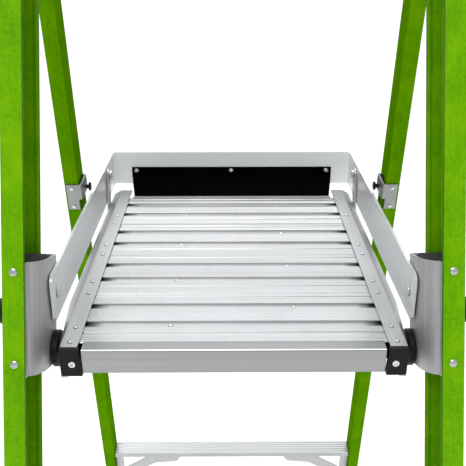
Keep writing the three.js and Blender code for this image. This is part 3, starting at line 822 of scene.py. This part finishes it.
class LADDER_OT_corner_caps(bpy.types.Operator):
    """Mould the black caps on the platform's front corners, with their screws"""

    bl_idname = "ladder.corner_caps"
    bl_label = "Corner caps"

    def execute(self, context):
        bottom_draw, top_draw = 1.4 * MM, 2.2 * MM
        for word, side in SIDES:
            node = f"corner_cap_{word}"
            low, high = (Vector(corner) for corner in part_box(node))
            bpy.ops.object.select_all(action="DESELECT")
            bpy.ops.mesh.primitive_cube_add(size=1, location=(low + high) / 2)
            cap = bpy.context.object
            cap.scale = high - low
            done(cap)
            middle = (low.x + high.x) / 2
            edit(cap)
            # the outer edge draws in a little towards the bottom; the left cap's inner edge leans
            # with it, and the right cap's stays upright there
            pick_edges(cap, lambda a, b: max(a.z, b.z) < low.z + MM and abs(a.x - b.x) < MM
                       and (side < 0 or a.x > middle))
            bpy.ops.transform.translate(value=(-side * bottom_draw, 0, 0))
            # the inner edge draws in towards the top, beside the deck
            pick_edges(cap, lambda a, b: min(a.z, b.z) > high.z - MM and abs(a.x - b.x) < MM
                       and side * a.x < side * middle)
            bpy.ops.transform.translate(value=(side * top_draw, 0, 0))
            bpy.ops.object.mode_set(mode="OBJECT")
            apply_modifier(cap, "BEVEL", width=1.5 * MM, segments=4, limit_method="ANGLE",
                           angle_limit=math.radians(30))
            edit(cap)
            pick_faces(cap, lambda centre, normal: normal.y < -0.99)
            bpy.ops.mesh.inset(thickness=1.3 * MM, depth=0)
            bpy.ops.mesh.inset(thickness=0.5 * MM, depth=-0.4 * MM)
            bpy.ops.object.mode_set(mode="OBJECT")
            soften(cap, 30)
            fit_out(cap, f"corner_cap_moulded_{word}", FINISHES["black"], "platform",
                    (node,))
        screw = cross_screw(9 * MM, 2.4 * MM)
        cap_face = -16.0
        places = [aimed(deck_point(side * 197, cap_face, -15), (0, -1, 0), 0.5) for _, side in SIDES]
        scatter(screw, places, "corner_cap_screws", FINISHES["rivet"], "platform")
        drop(screw)
        return {"FINISHED"}


class LADDER_OT_rear_flap(bpy.types.Operator):
    """Hang the black flap inside the guard's crossbar, with its three rivets"""

    bl_idname = "ladder.rear_flap"
    bl_label = "Rear flap"

    def execute(self, context):
        thick = 1.7 * MM
        half_at_foot, widening = 184, 12.4
        foot, reach = 524, 74
        bpy.ops.object.select_all(action="DESELECT")
        bpy.ops.mesh.primitive_grid_add(x_subdivisions=64, y_subdivisions=28, size=1)
        flap = done(bpy.context.object)
        # across is 0 at the left edge and 1 at the right; down is 0 at the bar and 1 at the platform
        curve = [Vector(p) for p in ((597.2, 35.2), (596.6, 8.8), (567, 0.6), (525.4, 0.3))]
        for vertex in flap.data.vertices:
            across, down = vertex.co.x + 0.5, 0.5 - vertex.co.y
            up = 1 - down
            point = (curve[0] * up ** 3 + curve[1] * 3 * up ** 2 * down
                     + curve[2] * 3 * up * down ** 2 + curve[3] * down ** 3)
            half = half_at_foot + widening * (point.x - foot) / reach
            ripple = 0.35 * math.sin(19 * across + 0.7) * math.sin(math.pi * down)
            vertex.co = deck_point((across * 2 - 1) * half, point.x, point.y + ripple)
        apply_modifier(flap, "SOLIDIFY", thickness=thick, offset=0)
        apply_modifier(flap, "BEVEL", width=0.4 * MM, segments=2, limit_method="ANGLE",
                       angle_limit=math.radians(50))
        soften(flap, 50)
        fit_out(flap, "rear_flap_strip", FINISHES["rubber"], "guard", ("rear_flap",))
        rivet = rivet_head(context.scene.ladder_sizes.rivet_head, 2.0 * MM)
        places = [aimed(deck_point(x, 595.9, 28), (0, -1, 0.1)) for x in (-187, -1, 186)]
        scatter(rivet, places, "rear_flap_rivets", FINISHES["rivet"], "guard")
        drop(rivet)
        return {"FINISHED"}


class LADDER_OT_stage(bpy.types.Operator):
    """Set the pale floor, the soft lights and the camera"""

    bl_idname = "ladder.stage"
    bl_label = "Stage"

    def execute(self, context):
        scene = context.scene
        scene.view_settings.view_transform = "Standard"
        scene.view_settings.look = "None"
        bpy.ops.object.select_all(action="DESELECT")
        bpy.ops.mesh.primitive_plane_add(size=60, location=(0, 12, -0.0005))
        floor = done(bpy.context.object)
        floor.name = "stage_floor"
        pale = Finish("pale_floor", Roughness=0.9, Specular_IOR_Level=0.1)
        clouds = pale.noise(pale.place, 1.5, 2)
        pale.feed("Base Color", pale.blend(clouds, (0.93, 0.93, 0.93), (0.96, 0.96, 0.96)))
        floor.data.materials.append(pale.material)
        scene.world = studio_world()
        # name, place, width, height, power
        lights = (
            ("key_softbox", (-0.9, -3.0, 4.6), 2.6, 1.6, 55),
            ("overhead_softbox", (0, 1.2, 5.6), 3.5, 3.5, 60),
        )
        aim = deck_point(0, 300, 0)
        for name, place, width, height, power in lights:
            light = bpy.data.lights.new(name, "AREA")
            light.shape = "RECTANGLE"
            light.size = width
            light.size_y = height
            light.energy = power
            lamp = bpy.data.objects.new(name, light)
            lamp.location = place
            lamp.rotation_euler = (aim - Vector(place)).to_track_quat("-Z", "Y").to_euler()
            scene.collection.objects.link(lamp)
        look_down, look_aside = 23.36, -0.38
        eye = bpy.data.cameras.new("camera")
        eye.lens = 55.6
        eye.sensor_width = 36
        camera = bpy.data.objects.new("camera", eye)
        camera.location = deck_point(-6.2, -757, 478)
        camera.rotation_euler = (math.radians(90 - look_down), 0, math.radians(look_aside))
        scene.collection.objects.link(camera)
        scene.camera = camera
        return {"FINISHED"}


class LADDER_PT_panel(bpy.types.Panel):
    """Lists the ladder's operators"""

    bl_label = "Ladder"
    bl_idname = "LADDER_PT_panel"
    bl_space_type = "VIEW_3D"
    bl_region_type = "UI"
    bl_category = "Ladder"

    def draw(self, context):
        for group in (context.scene.ladder_finishes, context.scene.ladder_sizes):
            for key in group.bl_rna.properties.keys():
                if key not in ("rna_type", "name"):
                    self.layout.prop(group, key)
        for step in STEPS:
            self.layout.operator(step.bl_idname)


STEPS = (
    LADDER_OT_stage,
    LADDER_OT_finishes,
    LADDER_OT_rails_and_metalwork,
    LADDER_OT_rail_rivets,
    LADDER_OT_deck_rivets,
    LADDER_OT_bracket_inserts,
    LADDER_OT_rail_bosses,
    LADDER_OT_corner_caps,
    LADDER_OT_rear_flap,
)
CLASSES = (LadderFinishes, LadderSizes, *STEPS, LADDER_PT_panel)


def register():
    for item in CLASSES:
        bpy.utils.register_class(item)
    bpy.types.Scene.ladder_finishes = bpy.props.PointerProperty(type=LadderFinishes)
    bpy.types.Scene.ladder_sizes = bpy.props.PointerProperty(type=LadderSizes)


def unregister():
    del bpy.types.Scene.ladder_sizes
    del bpy.types.Scene.ladder_finishes
    for item in reversed(CLASSES):
        bpy.utils.unregister_class(item)


def main():
    register()
    bpy.ops.object.select_all(action="DESELECT")
    for step in STEPS:
        group, name = step.bl_idname.split(".")
        getattr(getattr(bpy.ops, group), name)()


if __name__ == "__main__":
    main()
